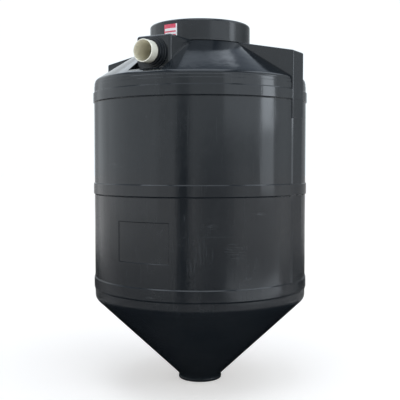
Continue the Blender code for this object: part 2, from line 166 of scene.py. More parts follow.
class DigesterPipes(PropertyGroup):
    sides: IntProperty(name="Pipe Sides", description="Flat faces round a pipe", default=96, min=24)
    mouth_chamfer: size_property("Mouth Chamfer", "Bevel sawn on the pipe's mouth", 0.0012)
    seal_lip: size_property("Seal Lip", "Rounding of the seal's lip", 0.0012)


class DigesterFinish(PropertyGroup):
    polyethylene: colour_property("Polyethylene", "Carbon-black polyethylene of the tank", "#13171b")
    dust: colour_property("Dust", "Fine pale dust and scuffs on the plastic", "#74797c")
    pvc: colour_property("Pipe", "Outside of the PVC pipe", "#c8c6b8")
    # The bore colour is the PVC's yellowed tint plus painted light: it is lighter than the outside, to lift
    # the shade inside the pipe
    pvc_bore_yellowed_and_painted_light: colour_property("Pipe Inside", "Yellowed bore of the PVC pipe", "#e2ddc8")
    pvc_sawn: colour_property("Pipe End", "Fresh PVC of the sawn mouth", "#e4e2d6")
    rubber: colour_property("Rubber", "Seal round the pipe", "#121213")
    sticker: colour_property("Sticker", "Red vinyl of the sticker", "#d33755")
    sticker_bars: colour_property("Sticker Bars", "White print on the sticker", "#e9e6e6")
    tank_roughness: roughness_property("Tank Roughness", 0.13)
    lid_roughness: roughness_property("Lid Roughness", 0.20)
    boss_roughness: roughness_property("Boss Roughness", 0.30)
    pipe_roughness: roughness_property("Pipe Roughness", 0.38)
    bore_roughness: roughness_property("Bore Roughness", 0.45)
    sawn_roughness: roughness_property("Pipe End Roughness", 0.6)


class DigesterStage(PropertyGroup):
    azimuth: FloatProperty(name="Camera Azimuth", description="Direction that the camera stands in",
                           default=radians(30.0), subtype="ANGLE")
    tilt: FloatProperty(name="Camera Tilt", description="How far the camera looks down",
                        default=radians(2.93), subtype="ANGLE")
    distance: size_property("Camera Distance", "From the tank's axis to the camera", 3.971)
    height: size_property("Camera Height", "Over the bottom of the spout", 1.181)
    focal_pixels: FloatProperty(name="Focal Length", description="In pixels of a frame 400 pixels wide",
                                default=726.0)
    daylight: FloatProperty(name="Daylight", description="Strength of the surroundings", default=1.12)
    sky: colour_property("Sky", "Cool white surroundings", "#f3faff")
    zenith: colour_property("Zenith", "Surroundings overhead", "#ddecff")
    lamps: colour_property("Lamps", "Cool white of the soft lights", "#edf6ff")
    floor_specks: colour_property("Floor Specks", "Darker specks of the floor", "#ece6e1")
    floor_pale: colour_property("Floor", "Pale ground of the floor", "#f3ede8")
    # The floor's glow is painted light: the floor emits it though it is no lamp
    floor_painted_glow: colour_property("Floor Glow", "Light that the floor gives back", "#fffcf9")


# Soft lights: name, azimuth from the camera's, distance out, height, width, length and radiance,
# and for some the roll in degrees and the height on the tank's axis that the light is turned to
SOFT_LIGHTS = (
    ("strip light", 69, 3.4, 1.83, 0.95, 0.66, 5.0),
    ("strip foot", 69, 3.4, 1.20, 0.95, 0.6, 1.6),
    ("lid light", 76, 3.4, 2.55, 0.8, 0.5, 3.6),
    ("fill light", 42, 3.4, 2.25, 2.4, 1.6, 0.75),
    ("left light", -73, 3.2, 1.90, 4.0, 2.4, 0.24),
    ("overhead light", 1, 1.1, 4.2, 2.2, 3.2, 1.9),
    ("right light", 87, 2.4, 4.2, 2.4, 1.6, 1.9),
    ("left overhead light", -101, 1.55, 4.2, 2.2, 1.0, 2.3),
    ("far left light", -150, 3.0, 4.1, 1.1, 1.3, 1.0),
    ("back oval", 172.7, 1.43, 4.1, 1.25, 0.40, 0.38, 22),
    ("back oval half", 163.2, 1.55, 4.1, 0.65, 0.36, 0.42, 32),
    ("back oval end", 158.1, 1.69, 4.1, 0.28, 0.22, 0.56, 37),
    ("floor light", 55, 3.1, 0.02, 4.0, 1.0, 1.6, 0, 30.0),
)

# Dark cards out of view: name, azimuth from the camera's, distance out, width, height and darkness
DARK_CARDS = (
    ("narrow card", -15.5, 3.0, 1.05, 2.3, 0.83),
    ("wide card", 14, 3.1, 3.4, 1.8, 0.50),
    ("edge card", 129, 3.0, 5.4, 4.4, 0.70),
    ("rim card", -142, 3.2, 2.2, 3.4, 0.60),
)

# Dark cloths on the floor, out of view: name, azimuth and distance out of the centre,
# the reach of the full darkness, the reach where it ends, and the darkness
GROUND_CLOTHS = (
    ("near cloth", 0, 0.0, 1.0, 2.2, 1.0),
    ("far cloth", -130, 0.9, 2.0, 10.0, 0.55),
    ("rim cloth", -150, 3.5, 1.3, 3.2, 0.68),
    ("right cloth", 150, 3.5, 1.0, 3.2, 0.50),
)


def deselect_all():
    bpy.ops.object.select_all(action="DESELECT")


def activate(item):
    deselect_all()
    item.select_set(True)
    bpy.context.view_layer.objects.active = item


def name_piece(name):
    item = bpy.context.object
    item.name = name
    item.data.name = name
    return item


def place(item, matrix):
    """Moves a piece and keeps its new place in its mesh."""
    activate(item)
    item.matrix_world = matrix @ item.matrix_world
    bpy.ops.object.transform_apply(location=True, rotation=True, scale=True)
    return item


def turned(azimuth):
    """Carries a piece drawn towards -Y round to an azimuth."""
    return Matrix.Rotation(azimuth, 4, "Z")


def lying(azimuth, start, height):
    """Lays a piece drawn up the Z axis on a pipe's axis, pointing out of the tank."""
    return turned(azimuth) @ Matrix.Translation((0, -start, height)) @ Matrix.Rotation(pi / 2, 4, "X")


def soften(corners):
    """Turns the corners of an outline, each (radius, height, rounding), into arcs."""
    finest = radians(13)
    points = []
    for k, (radius, height, rounding) in enumerate(corners):
        here = Vector((radius, height))
        if not rounding:
            points.append(here)
            continue
        back = (Vector(corners[k - 1][:2]) - here).normalized()
        ahead = (Vector(corners[k + 1][:2]) - here).normalized()
        half = back.angle(ahead) / 2
        turn = pi - 2 * half
        steps = max(2, round(turn / finest))
        centre = here + (back + ahead).normalized() * rounding / sin(half)
        spoke = here + back * rounding / tan(half) - centre
        side = 1 if back.cross(ahead) < 0 else -1
        for step in range(steps + 1):
            points.append(centre + Matrix.Rotation(side * turn * step / steps, 2) @ spoke)
    return points


def subdivided(points, longest):
    """Splits an outline's long stretches, so that none is longer than a given step."""
    points = [Vector(point) for point in points]
    made = [points[0]]
    for start, end in zip(points, points[1:]):
        pieces = max(1, ceil((end - start).length / longest))
        made += [start.lerp(end, (k + 1) / pieces) for k in range(pieces)]
    return made


def ring_up(name, outline, sides):
    """Extrudes a circle from point to point of a (radius, height) outline.

    An outline may begin or end on the axis, where it is closed, or end where it began.
    """
    deselect_all()
    outline = [Vector(point) for point in outline]
    from_axis = outline[0].x == 0
    rings = outline[1:] if from_axis else outline
    last = rings[0]
    bpy.ops.mesh.primitive_circle_add(vertices=sides, radius=last.x, location=(0, 0, last.y),
                                      fill_type="TRIFAN" if from_axis else "NOTHING")
    item = name_piece(name)
    bpy.ops.object.transform_apply(location=True)
    bpy.ops.object.mode_set(mode="EDIT")
    bpy.ops.mesh.select_mode(type="EDGE")
    bpy.ops.mesh.select_all(action="SELECT")
    if from_axis:
        bpy.ops.mesh.region_to_loop()
    for point in rings[1:]:
        bpy.ops.mesh.extrude_region_move(TRANSFORM_OT_translate={"value": (0, 0, point.y - last.y)})
        if point.x == 0:
            bpy.ops.mesh.merge(type="CENTER")
            break
        growth = point.x / last.x
        bpy.ops.transform.resize(value=(growth, growth, 1), center_override=(0, 0, point.y))
        last = point
    tidy_mesh()
    return item


def tidy_mesh():
    """Merges doubled points, turns the faces outwards and leaves edit mode."""
    bpy.ops.mesh.select_all(action="SELECT")
    bpy.ops.mesh.remove_doubles(threshold=0.00001)
    bpy.ops.mesh.normals_make_consistent(inside=False)
    bpy.ops.object.mode_set(mode="OBJECT")


def choose(item, kind, test):
    """Opens a piece in edit mode, with the faces, edges or verts that pass a test selected."""
    activate(item)
    bpy.ops.object.mode_set(mode="EDIT")
    bpy.ops.mesh.select_mode(type={"faces": "FACE", "edges": "EDGE", "verts": "VERT"}[kind])
    bpy.ops.mesh.select_all(action="DESELECT")
    mesh = bmesh.from_edit_mesh(item.data)
    for element in getattr(mesh, kind):
        element.select_set(test(element))
    mesh.select_flush(True)
    bmesh.update_edit_mesh(item.data)


def block(name, half, near, far, low, high):
    """A cube drawn towards -Y, between two reaches and two heights."""
    deselect_all()
    bpy.ops.mesh.primitive_cube_add(size=1, location=(0, -(near + far) / 2, (low + high) / 2),
                                    scale=(2 * half, far - near, high - low))
    item = name_piece(name)
    bpy.ops.object.transform_apply(location=True, scale=True)
    return item


def slope_top(item, near, fall):
    """Lowers the top of a block towards its outer face, from the reach where it starts."""
    top = max(v.co.z for v in item.data.vertices)
    choose(item, "verts", lambda v: v.co.z > top - SEAM and v.co.y < -near - SEAM)
    bpy.ops.transform.translate(value=(0, 0, -fall))
    bpy.ops.object.mode_set(mode="OBJECT")


def round_edges(item, width, segments, test):
    """Bevels the edges of a piece whose two ends pass a test."""
    choose(item, "edges", lambda edge: all(test(v.co) for v in edge.verts))
    bpy.ops.mesh.bevel(offset=width, segments=segments, profile=0.5, affect="EDGES")
    tidy_mesh()


def modify(item, kind, **settings):
    """Adds a modifier to a piece, sets its properties and applies it."""
    activate(item)
    modifier = item.modifiers.new(kind.lower(), kind)
    for key, value in settings.items():
        setattr(modifier, key, value)
    bpy.ops.object.modifier_apply(modifier=modifier.name)


def boolean(item, other, operation):
    """Adds or cuts away another piece, which is used up."""
    modify(item, "BOOLEAN", operation=operation, object=other)
    bpy.data.objects.remove(other, do_unlink=True)


def closed(item):
    """Tells whether every edge of a piece lies between two faces."""
    uses = Counter(key for face in item.data.polygons for key in face.edge_keys)
    return bool(uses) and set(uses.values()) == {2}


def join(pieces):
    """Joins pieces that don't touch into one object."""
    deselect_all()
    for piece in pieces:
        piece.select_set(True)
    bpy.context.view_layer.objects.active = pieces[0]
    bpy.ops.object.join()
    return pieces[0]


def smooth(item):
    """Smooth shading that the large faces lead, so that a narrow rounding stays narrow."""
    activate(item)
    bpy.ops.object.shade_smooth_by_angle(angle=radians(35), keep_sharp_edges=False)
    modify(item, "WEIGHTED_NORMAL", keep_sharp=True)


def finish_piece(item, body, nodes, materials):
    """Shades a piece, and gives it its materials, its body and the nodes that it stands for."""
    smooth(item)
    item.data.materials.clear()
    for material in materials:
        item.data.materials.append(material)
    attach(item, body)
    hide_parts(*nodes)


def wire(tree, node, inputs):
    """Fills a node's inputs, or links them to a socket or to another node's first output."""
    for key, value in inputs.items():
        if isinstance(value, Node):
            value = value.outputs[0]
        if isinstance(value, NodeSocket):
            tree.links.new(value, node.inputs[key])
        else:
            node.inputs[key].default_value = value


def add_node(tree, kind, inputs=None, **settings):
    """Adds a shader node, sets its properties, and fills or links its inputs."""
    made = tree.nodes.new("ShaderNode" + kind)
    for key, value in settings.items():
        setattr(made, key, value)
    wire(tree, made, inputs or {})
    return made


def new_material(name):
    """An empty node material with its Principled shader and its object coordinates."""
    material = bpy.data.materials.new(name)
    material.use_nodes = True
    tree = material.node_tree
    coords = add_node(tree, "TexCoord").outputs["Object"]
    return material, tree, tree.nodes["Principled BSDF"], coords


def per_metre(millimetres):
    """Scale of a noise whose grains are so many millimetres apart."""
    return 1000.0 / millimetres


# Scuffs on the wall: azimuth in degrees, height, width and height of the mark, and its strength
SCUFFS = (
    (22.4, 0.922, 0.010, 0.040, 0.8),
    (25.5, 0.691, 0.050, 0.110, 0.35),
    (31.0, 0.760, 0.120, 0.150, 0.20),
    (39.0, 0.833, 0.170, 0.014, 0.45),
    (36.0, 0.880, 0.060, 0.030, 0.35),
    (47.0, 0.770, 0.150, 0.110, 0.20),
    (54.0, 0.626, 0.060, 0.022, 0.6),
    (60.0, 0.935, 0.110, 0.018, 0.5),
    (-19.0, 1.173, 0.110, 0.012, 0.45),
    (-14.0, 1.160, 0.070, 0.008, 0.45),
    (3.4, 1.4005, 0.008, 0.008, 1.0),
    (5.0, 0.533, 0.060, 0.018, 0.7),
    (128.0, 0.860, 0.120, 0.060, 0.5),
    (205.0, 1.250, 0.090, 0.070, 0.5),
    (262.0, 0.700, 0.070, 0.140, 0.4),
)


def scuff_mask(tree, coords):
    """Adds up the scuffs, each an oval of broken strokes that run along its longer side."""
    total = None
    for azimuth, height, width, tall, strength in SCUFFS:
        angle = radians(azimuth)
        centre = (WALL_R * sin(angle), -WALL_R * cos(angle), height)
        local = add_node(tree, "Mapping", {
            "Vector": coords, "Location": centre, "Rotation": (0, 0, angle),
            "Scale": (width / 2, 0.02, tall / 2)}, vector_type="TEXTURE")
        reach = add_node(tree, "VectorMath", {0: local}, operation="LENGTH").outputs["Value"]
        oval = add_node(tree, "MapRange", {
            "Value": reach, "From Min": 0.3, "From Max": 1.1, "To Min": strength, "To Max": 0.0})
        along = (5.0, 1.0, 0.6) if tall > width else (0.6, 1.0, 5.0)
        drawn = add_node(tree, "Mapping", {
            "Vector": local, "Location": (azimuth, 0, height), "Rotation": (0, 0.22, 0), "Scale": along})
        hatch = add_node(tree, "TexNoise", {"Vector": drawn, "Scale": 1.5, "Detail": 4.0})
        stroke = add_node(tree, "MapRange", {"Value": hatch, "From Min": 0.50, "From Max": 0.66})
        spot = add_node(tree, "Math", {0: oval, 1: stroke}, operation="MULTIPLY")
        total = spot if total is None else add_node(tree, "Math", {0: total, 1: spot}, operation="ADD")
    return total


def moulded_polyethylene(name, finish, roughness, scuffed=False):
    """Rotationally moulded polyethylene: a satin skin with a soft mirror, uneven from the mould."""
    material, tree, shader, coords = new_material(name)
    blotch = add_node(tree, "TexNoise", {"Vector": coords, "Scale": per_metre(210), "Detail": 2.0})
    mottle = add_node(tree, "TexNoise", {
        "Vector": coords, "Scale": per_metre(26), "Detail": 4.0, "Roughness": 0.6})
    runs = add_node(tree, "Mapping", {"Vector": coords, "Scale": (1.0, 1.0, 0.07)})
    streak = add_node(tree, "TexNoise", {"Vector": runs, "Scale": per_metre(38), "Detail": 3.0})
    hair = add_node(tree, "Mapping", {
        "Vector": coords, "Rotation": (0.3, 0.5, 0.2), "Scale": (1.0, 1.0, 0.03)})
    scratch = add_node(tree, "TexNoise", {"Vector": hair, "Scale": per_metre(5), "Detail": 2.0})
    thin = add_node(tree, "MapRange", {"Value": scratch, "From Min": 0.66, "From Max": 0.74, "To Max": 0.04})
    dust = add_node(tree, "Math", {0: mottle, 1: blotch}, operation="MULTIPLY")
    dust = add_node(tree, "MapRange", {"Value": dust, "From Min": 0.18, "From Max": 0.42, "To Max": 0.022})
    marks = add_node(tree, "Math", {0: dust, 1: thin}, operation="ADD")
    if scuffed:
        broken = add_node(tree, "MapRange", {
            "Value": scratch, "From Min": 0.40, "From Max": 0.60, "To Min": 0.15, "To Max": 0.6})
        scuffs = scuff_mask(tree, coords)
        scuffs = add_node(tree, "Math", {0: scuffs, 1: broken}, operation="MULTIPLY")
        marks = add_node(tree, "Math", {0: marks, 1: scuffs}, operation="ADD", use_clamp=True)
    colour = add_node(tree, "Mix", {
        0: marks, 6: (*finish.polyethylene, 1.0), 7: (*finish.dust, 1.0)}, data_type="RGBA")
    gloss = add_node(tree, "Math", {0: blotch, 1: streak}, operation="ADD")
    gloss = add_node(tree, "MapRange", {
        "Value": gloss, "From Min": 0.75, "From Max": 1.25,
        "To Min": roughness - 0.03, "To Max": roughness + 0.05})
    gloss = add_node(tree, "Math", {0: gloss, 1: marks}, operation="ADD")
    peel = add_node(tree, "TexNoise", {"Vector": coords, "Scale": per_metre(7), "Detail": 1.0})
    swell = add_node(tree, "Bump", {"Strength": 0.17, "Distance": 0.004, "Height": streak})
    grain = add_node(tree, "Bump", {"Strength": 0.05, "Distance": 0.0006, "Height": peel, "Normal": swell})
    wire(tree, shader, {"Base Color": colour.outputs[2], "Roughness": gloss, "Normal": grain, "IOR": 1.45})
    return material


def extruded_pvc(name, colour, roughness):
    """Extruded PVC drain pipe: smooth and slightly waxy, with faint drawing lines and grime."""
    material, tree, shader, coords = new_material(name)
    grime = add_node(tree, "TexNoise", {
        "Vector": coords, "Scale": per_metre(45), "Detail": 5.0, "Roughness": 0.6})
    amount = add_node(tree, "MapRange", {"Value": grime, "From Min": 0.42, "From Max": 0.75, "To Max": 0.30})
    dirt = tuple(0.45 * channel for channel in colour)
    mixed = add_node(tree, "Mix", {0: amount, 6: (*colour, 1.0), 7: (*dirt, 1.0)}, data_type="RGBA")
    # The real lines lie tenths of a millimetre apart, too fine to show, and are drawn coarser
    lines = add_node(tree, "Mapping", {"Vector": coords, "Scale": (1.0, 0.05, 1.0)})
    drawn = add_node(tree, "TexNoise", {"Vector": lines, "Scale": per_metre(4), "Detail": 2.0})
    bump = add_node(tree, "Bump", {"Strength": 0.15, "Distance": 0.0005, "Height": drawn})
    wire(tree, shader, {"Base Color": mixed.outputs[2], "Normal": bump, "Roughness": roughness, "IOR": 1.53})
    return material


def moulded_rubber(name, colour):
    """Moulded EPDM rubber: matt and nearly black, with a fine tooth."""
    material, tree, shader, coords = new_material(name)
    # The real tooth is tenths of a millimetre wide, too fine to show, and is drawn coarser
    tooth = add_node(tree, "TexNoise", {"Vector": coords, "Scale": per_metre(1.5), "Detail": 3.0})
    shade = add_node(tree, "MapRange", {
        "Value": tooth, "From Min": 0.3, "From Max": 0.7, "To Min": 0.55, "To Max": 0.75})
    bump = add_node(tree, "Bump", {"Strength": 0.3, "Distance": 0.0003, "Height": tooth})
    wire(tree, shader, {"Base Color": (*colour, 1.0), "Roughness": shade, "Normal": bump})
    return material


def printed_vinyl(name, colour):
    """Printed vinyl film: smooth and lightly faded, with soft creases."""
    material, tree, shader, coords = new_material(name)
    fade = add_node(tree, "TexNoise", {"Vector": coords, "Scale": per_metre(12), "Detail": 3.0})
    amount = add_node(tree, "MapRange", {"Value": fade, "From Min": 0.4, "From Max": 0.7, "To Max": 0.28})
    pale = tuple(0.6 * channel + 0.3 for channel in colour)
    mixed = add_node(tree, "Mix", {0: amount, 6: (*colour, 1.0), 7: (*pale, 1.0)}, data_type="RGBA")
    bump = add_node(tree, "Bump", {"Strength": 0.2, "Distance": 0.0005, "Height": fade})
    wire(tree, shader, {"Base Color": mixed.outputs[2], "Normal": bump, "Roughness": 0.32})
    return material


def shoulder_height(radius, drop=0.0):
    """Height of the shoulder at a radius, sunk square to itself by drop."""
    return LAND_Z - (radius - LAND_R) * tan(SHOULDER_ANGLE) - drop / cos(SHOULDER_ANGLE)


def cone_height(radius, drop=0.0):
    """Height of the bottom cone at a radius, raised square to itself by drop."""
    return SPOUT_TOP + (radius - SPOUT_R) * tan(CONE_ANGLE) + drop / cos(CONE_ANGLE)


def tank_outline(tank):
    """Outside of the moulding, from the foot of the spout to the rim of the neck."""
    bead, over_bead = SPOUT_BEAD_TOP
    spout = SPOUT_R - SPOUT_BEAD_STEP
    corners = [(0, 0, 0), (SPOUT_R, 0, 0.006), (SPOUT_R, bead, 0.001), (spout, over_bead, 0.001),
               (spout, cone_height(spout), 0.004), (WALL_R, cone_height(WALL_R), KNUCKLE_ROUND)]
    for k, (low, high) in enumerate(BANDS):
        above = RING_R if k == 2 else WALL_R
        fall = tank.band_slope * (BAND_R - above)
        corners += [(WALL_R, low - 0.006, 0.008), (BAND_R, low, BAND_EDGE),
                    (BAND_R, high - fall, BAND_EDGE), (above, high, 0.0006)]
        if k == 0:
            corners += [(WALL_R, PANEL_LOW, 0), (WALL_R, PANEL_HIGH, 0)]
    rim = RING_R
    for rise in GROOVE_RISES:
        groove = BANDS[2][1] + rise
        corners += [(rim, groove, 0.0010), (rim - GROOVE_STEP, groove + GROOVE_STEP, 0.0010)]
        rim -= GROOVE_STEP
    corners += [(rim, shoulder_height(RING_R), SHOULDER_ROUND),
                (LID_R, shoulder_height(LID_R), 0.004), (NECK_R, shoulder_height(LID_R), 0.003),
                (NECK_R, NECK_TOP, 0.002), (0, NECK_TOP, 0)]
    return soften(corners)


def hollow_outline():
    """Inside of the moulding, with the neck run on past its rim so that it opens."""
    spout = SPOUT_R - SKIN
    wall = WALL_R - SKIN
    ring = RING_R - SKIN
    under = shoulder_height(LID_R) - SKIN
    neck = NECK_R - NECK_WALL
    meet = LAND_R + (LAND_Z - under - SKIN / cos(SHOULDER_ANGLE)) / tan(SHOULDER_ANGLE)
    corners = [(0, SKIN, 0), (spout, SKIN, 0.003), (spout, cone_height(spout, SKIN), 0),
               (wall, cone_height(wall, SKIN), KNUCKLE_ROUND - SKIN),
               (wall, BANDS[2][1], 0), (ring, BANDS[2][1], 0),
               (ring, shoulder_height(ring, SKIN), SHOULDER_ROUND - SKIN), (meet, under, 0),
               (neck, under, 0.002), (neck, LID_TOP + SKIN, 0), (0, LID_TOP + SKIN, 0)]
    return soften(corners)


def set_back_panel(item, tank):
    """Sets the label panel back in the wall under the inlet, with drafted sides."""
    def on_panel(face):
        centre = face.calc_center_median()
        azimuth = abs(atan2(centre.x, -centre.y))
        return azimuth < PANEL_HALF_ANGLE and PANEL_LOW < centre.z < PANEL_HIGH

    choose(item, "faces", on_panel)
    eased_edge = (0.0012, -0.0002)
    drafted_side = (0.0024, 0.0006 - tank.panel_depth)
    eased_foot = (0.0008, -0.0004)
    for thickness, depth in (eased_edge, drafted_side, eased_foot):
        bpy.ops.mesh.inset(thickness=thickness, depth=depth)
    bpy.ops.object.mode_set(mode="OBJECT")


def ripple(item, tank):
    """Lets slow waves run through the moulding, inwards only, as its walls never cool quite even."""
    texture = bpy.data.textures.new("slow waves", "CLOUDS")
    texture.noise_scale = tank.wave_size
    texture.noise_depth = 1
    modify(item, "DISPLACE", texture=texture, texture_coords="LOCAL",
           mid_level=1.0, strength=tank.wave_depth)


def side_box(azimuth, tank):
    """Blank box that runs from the shoulder down the wall to a step."""
    fall = SIDE_BOX_SLOPE * (SIDE_BOX_FACE - BOX_ROOT_R)
    root_top = SIDE_BOX_FACE_TOP + fall
    item = block("side box", SIDE_BOX_HALF, BOX_ROOT_R, SIDE_BOX_FACE, SIDE_BOX_LOW, root_top)
    slope_top(item, BOX_ROOT_R, fall)
    middle = (SIDE_BOX_FACE + WALL_R) / 2
    round_edges(item, tank.side_box_round, 4, lambda p: p.y < -middle or p.z > SIDE_BOX_FACE_TOP - SEAM)
    return place(item, turned(azimuth))


def wall_strip(azimuth, low, high):
    """Flat upright strip of the wall under a side box, with drafted sides."""
    item = block("wall strip", SIDE_BOX_HALF, WALL_R - 0.005, STRIP_FACE, low, high)
    narrowed = 1 - STRIP_DRAFT / SIDE_BOX_HALF
    choose(item, "verts", lambda v: v.co.y < -WALL_R)
    bpy.ops.transform.resize(value=(narrowed, 1, 1), center_override=(0, -STRIP_FACE, (low + high) / 2))
    bpy.ops.object.mode_set(mode="OBJECT")
    round_edges(item, STRIP_EDGE, 2, lambda p: p.y < -WALL_R)
    return place(item, turned(azimuth))


def pipe_box(azimuth, tank):
    """Short box on the shoulder that a pipe leaves through."""
    item = block("pipe box", PIPE_BOX_HALF, BOX_ROOT_R, PIPE_BOX_FACE, LEDGE_Z - 2 * SKIN, PIPE_BOX_TOP)
    middle = (BOX_ROOT_R + PIPE_BOX_FACE) / 2
    round_edges(item, tank.pipe_box_round, 6, lambda p: p.y < -middle or p.z > PIPE_BOX_TOP - SEAM)
    return place(item, turned(azimuth))


def niche(azimuth, tank):
    """What is cut from the shoulder in front of a pipe box, over a level ledge."""
    start = PIPE_BOX_FACE - tank.pipe_box_round
    item = block("niche", PIPE_BOX_HALF - SEAM, start, LEDGE_END, LEDGE_Z, PIPE_BOX_TOP)
    round_edges(item, tank.niche_round, 4, lambda p: p.z < LEDGE_Z + SEAM)
    return place(item, turned(azimuth))


def lid_room():
    """What is cut from the boxes so that they end short of the lid."""
    low = LAND_Z - SKIN
    return ring_up("lid room", ((0, low), (LAND_R, low), (LAND_R, LID_TOP), (0, LID_TOP)), 240)


def rod(name, radius, azimuth, start, end, height, sides):
    """Round bar on a pipe's axis."""
    item = ring_up(name, ((0, 0), (radius, 0), (radius, end - start), (0, end - start)), sides)
    return place(item, lying(azimuth, start, height))


def pipe_sizes(name):
    """Outer radius and axis height of a pipe, as the frame gives them."""
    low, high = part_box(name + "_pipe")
    return (high.z - low.z) / 2, (high.z + low.z) / 2


class DIGESTER_OT_tank(Operator):
    """Model the one-piece moulding: spout, cone, banded wall, shoulder, neck and boxes"""
    bl_idname = "digester.tank"
    bl_label = "Tank"

    def execute(self, context):
        tank = context.scene.digester_tank
        finish = context.scene.digester_finish
        outer = ring_up("tank_shell", subdivided(tank_outline(tank), tank.ring_gap), tank.sides)
        set_back_panel(outer, tank)
        ripple(outer, tank)
        boolean(outer, join([niche(azimuth, tank) for _, azimuth, _ in PIPES]), "DIFFERENCE")
        boxes = [side_box(azimuth, tank) for azimuth in SIDES]
        boxes += [pipe_box(azimuth, tank) for _, azimuth, _ in PIPES]
        boxes = join(boxes)
        boolean(boxes, lid_room(), "DIFFERENCE")
        boolean(outer, boxes, "UNION")
        strips = []
        for azimuth in SIDES:
            strips.append(wall_strip(azimuth, BANDS[0][1] - SKIN, BANDS[1][0] + SKIN))
            strips.append(wall_strip(azimuth, BANDS[1][1] - SKIN, SIDE_BOX_LOW + SKIN))
        boolean(outer, join(strips), "UNION")
        boolean(outer, self.hollow(), "DIFFERENCE")
        if not closed(outer):
            raise RuntimeError("the tank's mesh is open or empty")
        plastic = moulded_polyethylene(
            "rotationally moulded polyethylene", finish, finish.tank_roughness, scuffed=True)
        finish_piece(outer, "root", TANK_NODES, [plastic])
        return {"FINISHED"}

    def hollow(self):
        """Solid that fills the inside of the tank, its boxes and the holes for the pipes."""
        inner = ring_up("hollow", hollow_outline(), 96)
        face = SIDE_BOX_FACE - SKIN
        fall = SIDE_BOX_SLOPE * (SIDE_BOX_FACE - BOX_HOLLOW_R)
        top = SIDE_BOX_FACE_TOP + fall - SKIN
        for azimuth in SIDES:
            core = block("core", SIDE_BOX_HALF - SKIN, BOX_HOLLOW_R, face, SIDE_BOX_LOW + SKIN, top)
            slope_top(core, BOX_HOLLOW_R, fall)
            boolean(inner, place(core, turned(azimuth)), "UNION")
        face = PIPE_BOX_FACE - SKIN
        for name, azimuth, _ in PIPES:
            radius, height = pipe_sizes(name)
            core = block("core", PIPE_BOX_HALF - SKIN, BOX_HOLLOW_R, face,
                         LEDGE_Z - 2 * SKIN, PIPE_BOX_TOP - SKIN)
            boolean(inner, place(core, turned(azimuth)), "UNION")
            guard = block("guard", PIPE_BOX_HALF + SKIN, face + SEAM, LEDGE_END,
                          LEDGE_Z - SKIN, PIPE_BOX_TOP)
            boolean(inner, place(guard, turned(azimuth)), "DIFFERENCE")
            hole = rod("hole", radius + SEAM, azimuth, face - 4 * SKIN, PIPE_BOX_FACE + 2 * SKIN, height, 96)
            boolean(inner, hole, "UNION")
        return inner


class DIGESTER_OT_lid(Operator):
    """Model the deep lid with its beaded rim and panelled top"""
    bl_idname = "digester.lid"
    bl_label = "Lid"

    def execute(self, context):
        lid = context.scene.digester_lid
        finish = context.scene.digester_finish
        wall = LID_R - LID_BEAD_STEP
        inside = wall - SKIN
        roof = LID_TOP - SKIN - LID_PANEL_DROP
        bead = LID_LOW + lid.bead
        corners = [(0, roof, 0), (inside, roof, 0.010), (inside, LID_LOW, 0.001),
                   (LID_R, LID_LOW, 0.0015), (LID_R, bead, 0.0005), (wall, bead + LID_BEAD_STEP, 0.0005),
                   (wall, LID_TOP, lid.top_round), (LID_PANEL_R + 0.004, LID_TOP, 0.002),
                   (LID_PANEL_R, LID_TOP - LID_PANEL_DROP, 0.002), (0, LID_TOP - LID_PANEL_DROP, 0)]
        item = ring_up("lid_cap", subdivided(soften(corners), 0.030), 240)
        plastic = moulded_polyethylene("moulded polyethylene lid", finish, finish.lid_roughness)
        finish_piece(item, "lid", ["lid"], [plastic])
        return {"FINISHED"}


class DIGESTER_OT_sticker(Operator):
    """Wrap the plain red sticker with its white bars on the lid, over the inlet"""
    bl_idname = "digester.sticker"
    bl_label = "Lid Sticker"

    def execute(self, context):
        lid = context.scene.digester_lid
        finish = context.scene.digester_finish
        width = lid.sticker_width
        tall = lid.sticker_high - lid.sticker_low
        before_lid = -LID_R - 0.01
        deselect_all()
        bpy.ops.mesh.primitive_grid_add(x_subdivisions=22, y_subdivisions=26, size=1,
                                        location=(0, before_lid, (lid.sticker_low + lid.sticker_high) / 2),
                                        rotation=(pi / 2, 0, 0))
        item = name_piece("lid_sticker")
        bpy.ops.transform.resize(value=(width, 1, tall))
        bpy.ops.object.transform_apply(location=True, rotation=True, scale=True)
        modify(item, "SHRINKWRAP", target=bpy.data.objects["lid_cap"], wrap_method="PROJECT",
               use_project_y=True, use_positive_direction=True, offset=0.0002)
        modify(item, "SOLIDIFY", thickness=0.00018, offset=1.0)
        place(item, turned(STICKER_AZIMUTH))
        red = printed_vinyl("red vinyl film", finish.sticker)
        white = printed_vinyl("white print on vinyl", finish.sticker_bars)
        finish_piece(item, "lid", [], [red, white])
        self.print_bars(item, lid.sticker_low, width, tall)
        return {"FINISHED"}

    def print_bars(self, item, foot, width, tall):
        """Gives the faces on the bars and on the right margin the white print."""
        bars = ((0.22, 0.39), (0.51, 0.69))
        bars_start = -0.44
        margin_start = 0.43
        facing = turned(-STICKER_AZIMUTH)
        for face in item.data.polygons:
            centre = facing @ face.center
            across = centre.x / width
            up = (centre.z - foot) / tall
            barred = any(low < up < high for low, high in bars) and across > bars_start
            face.material_index = 1 if barred or across > margin_start else 0


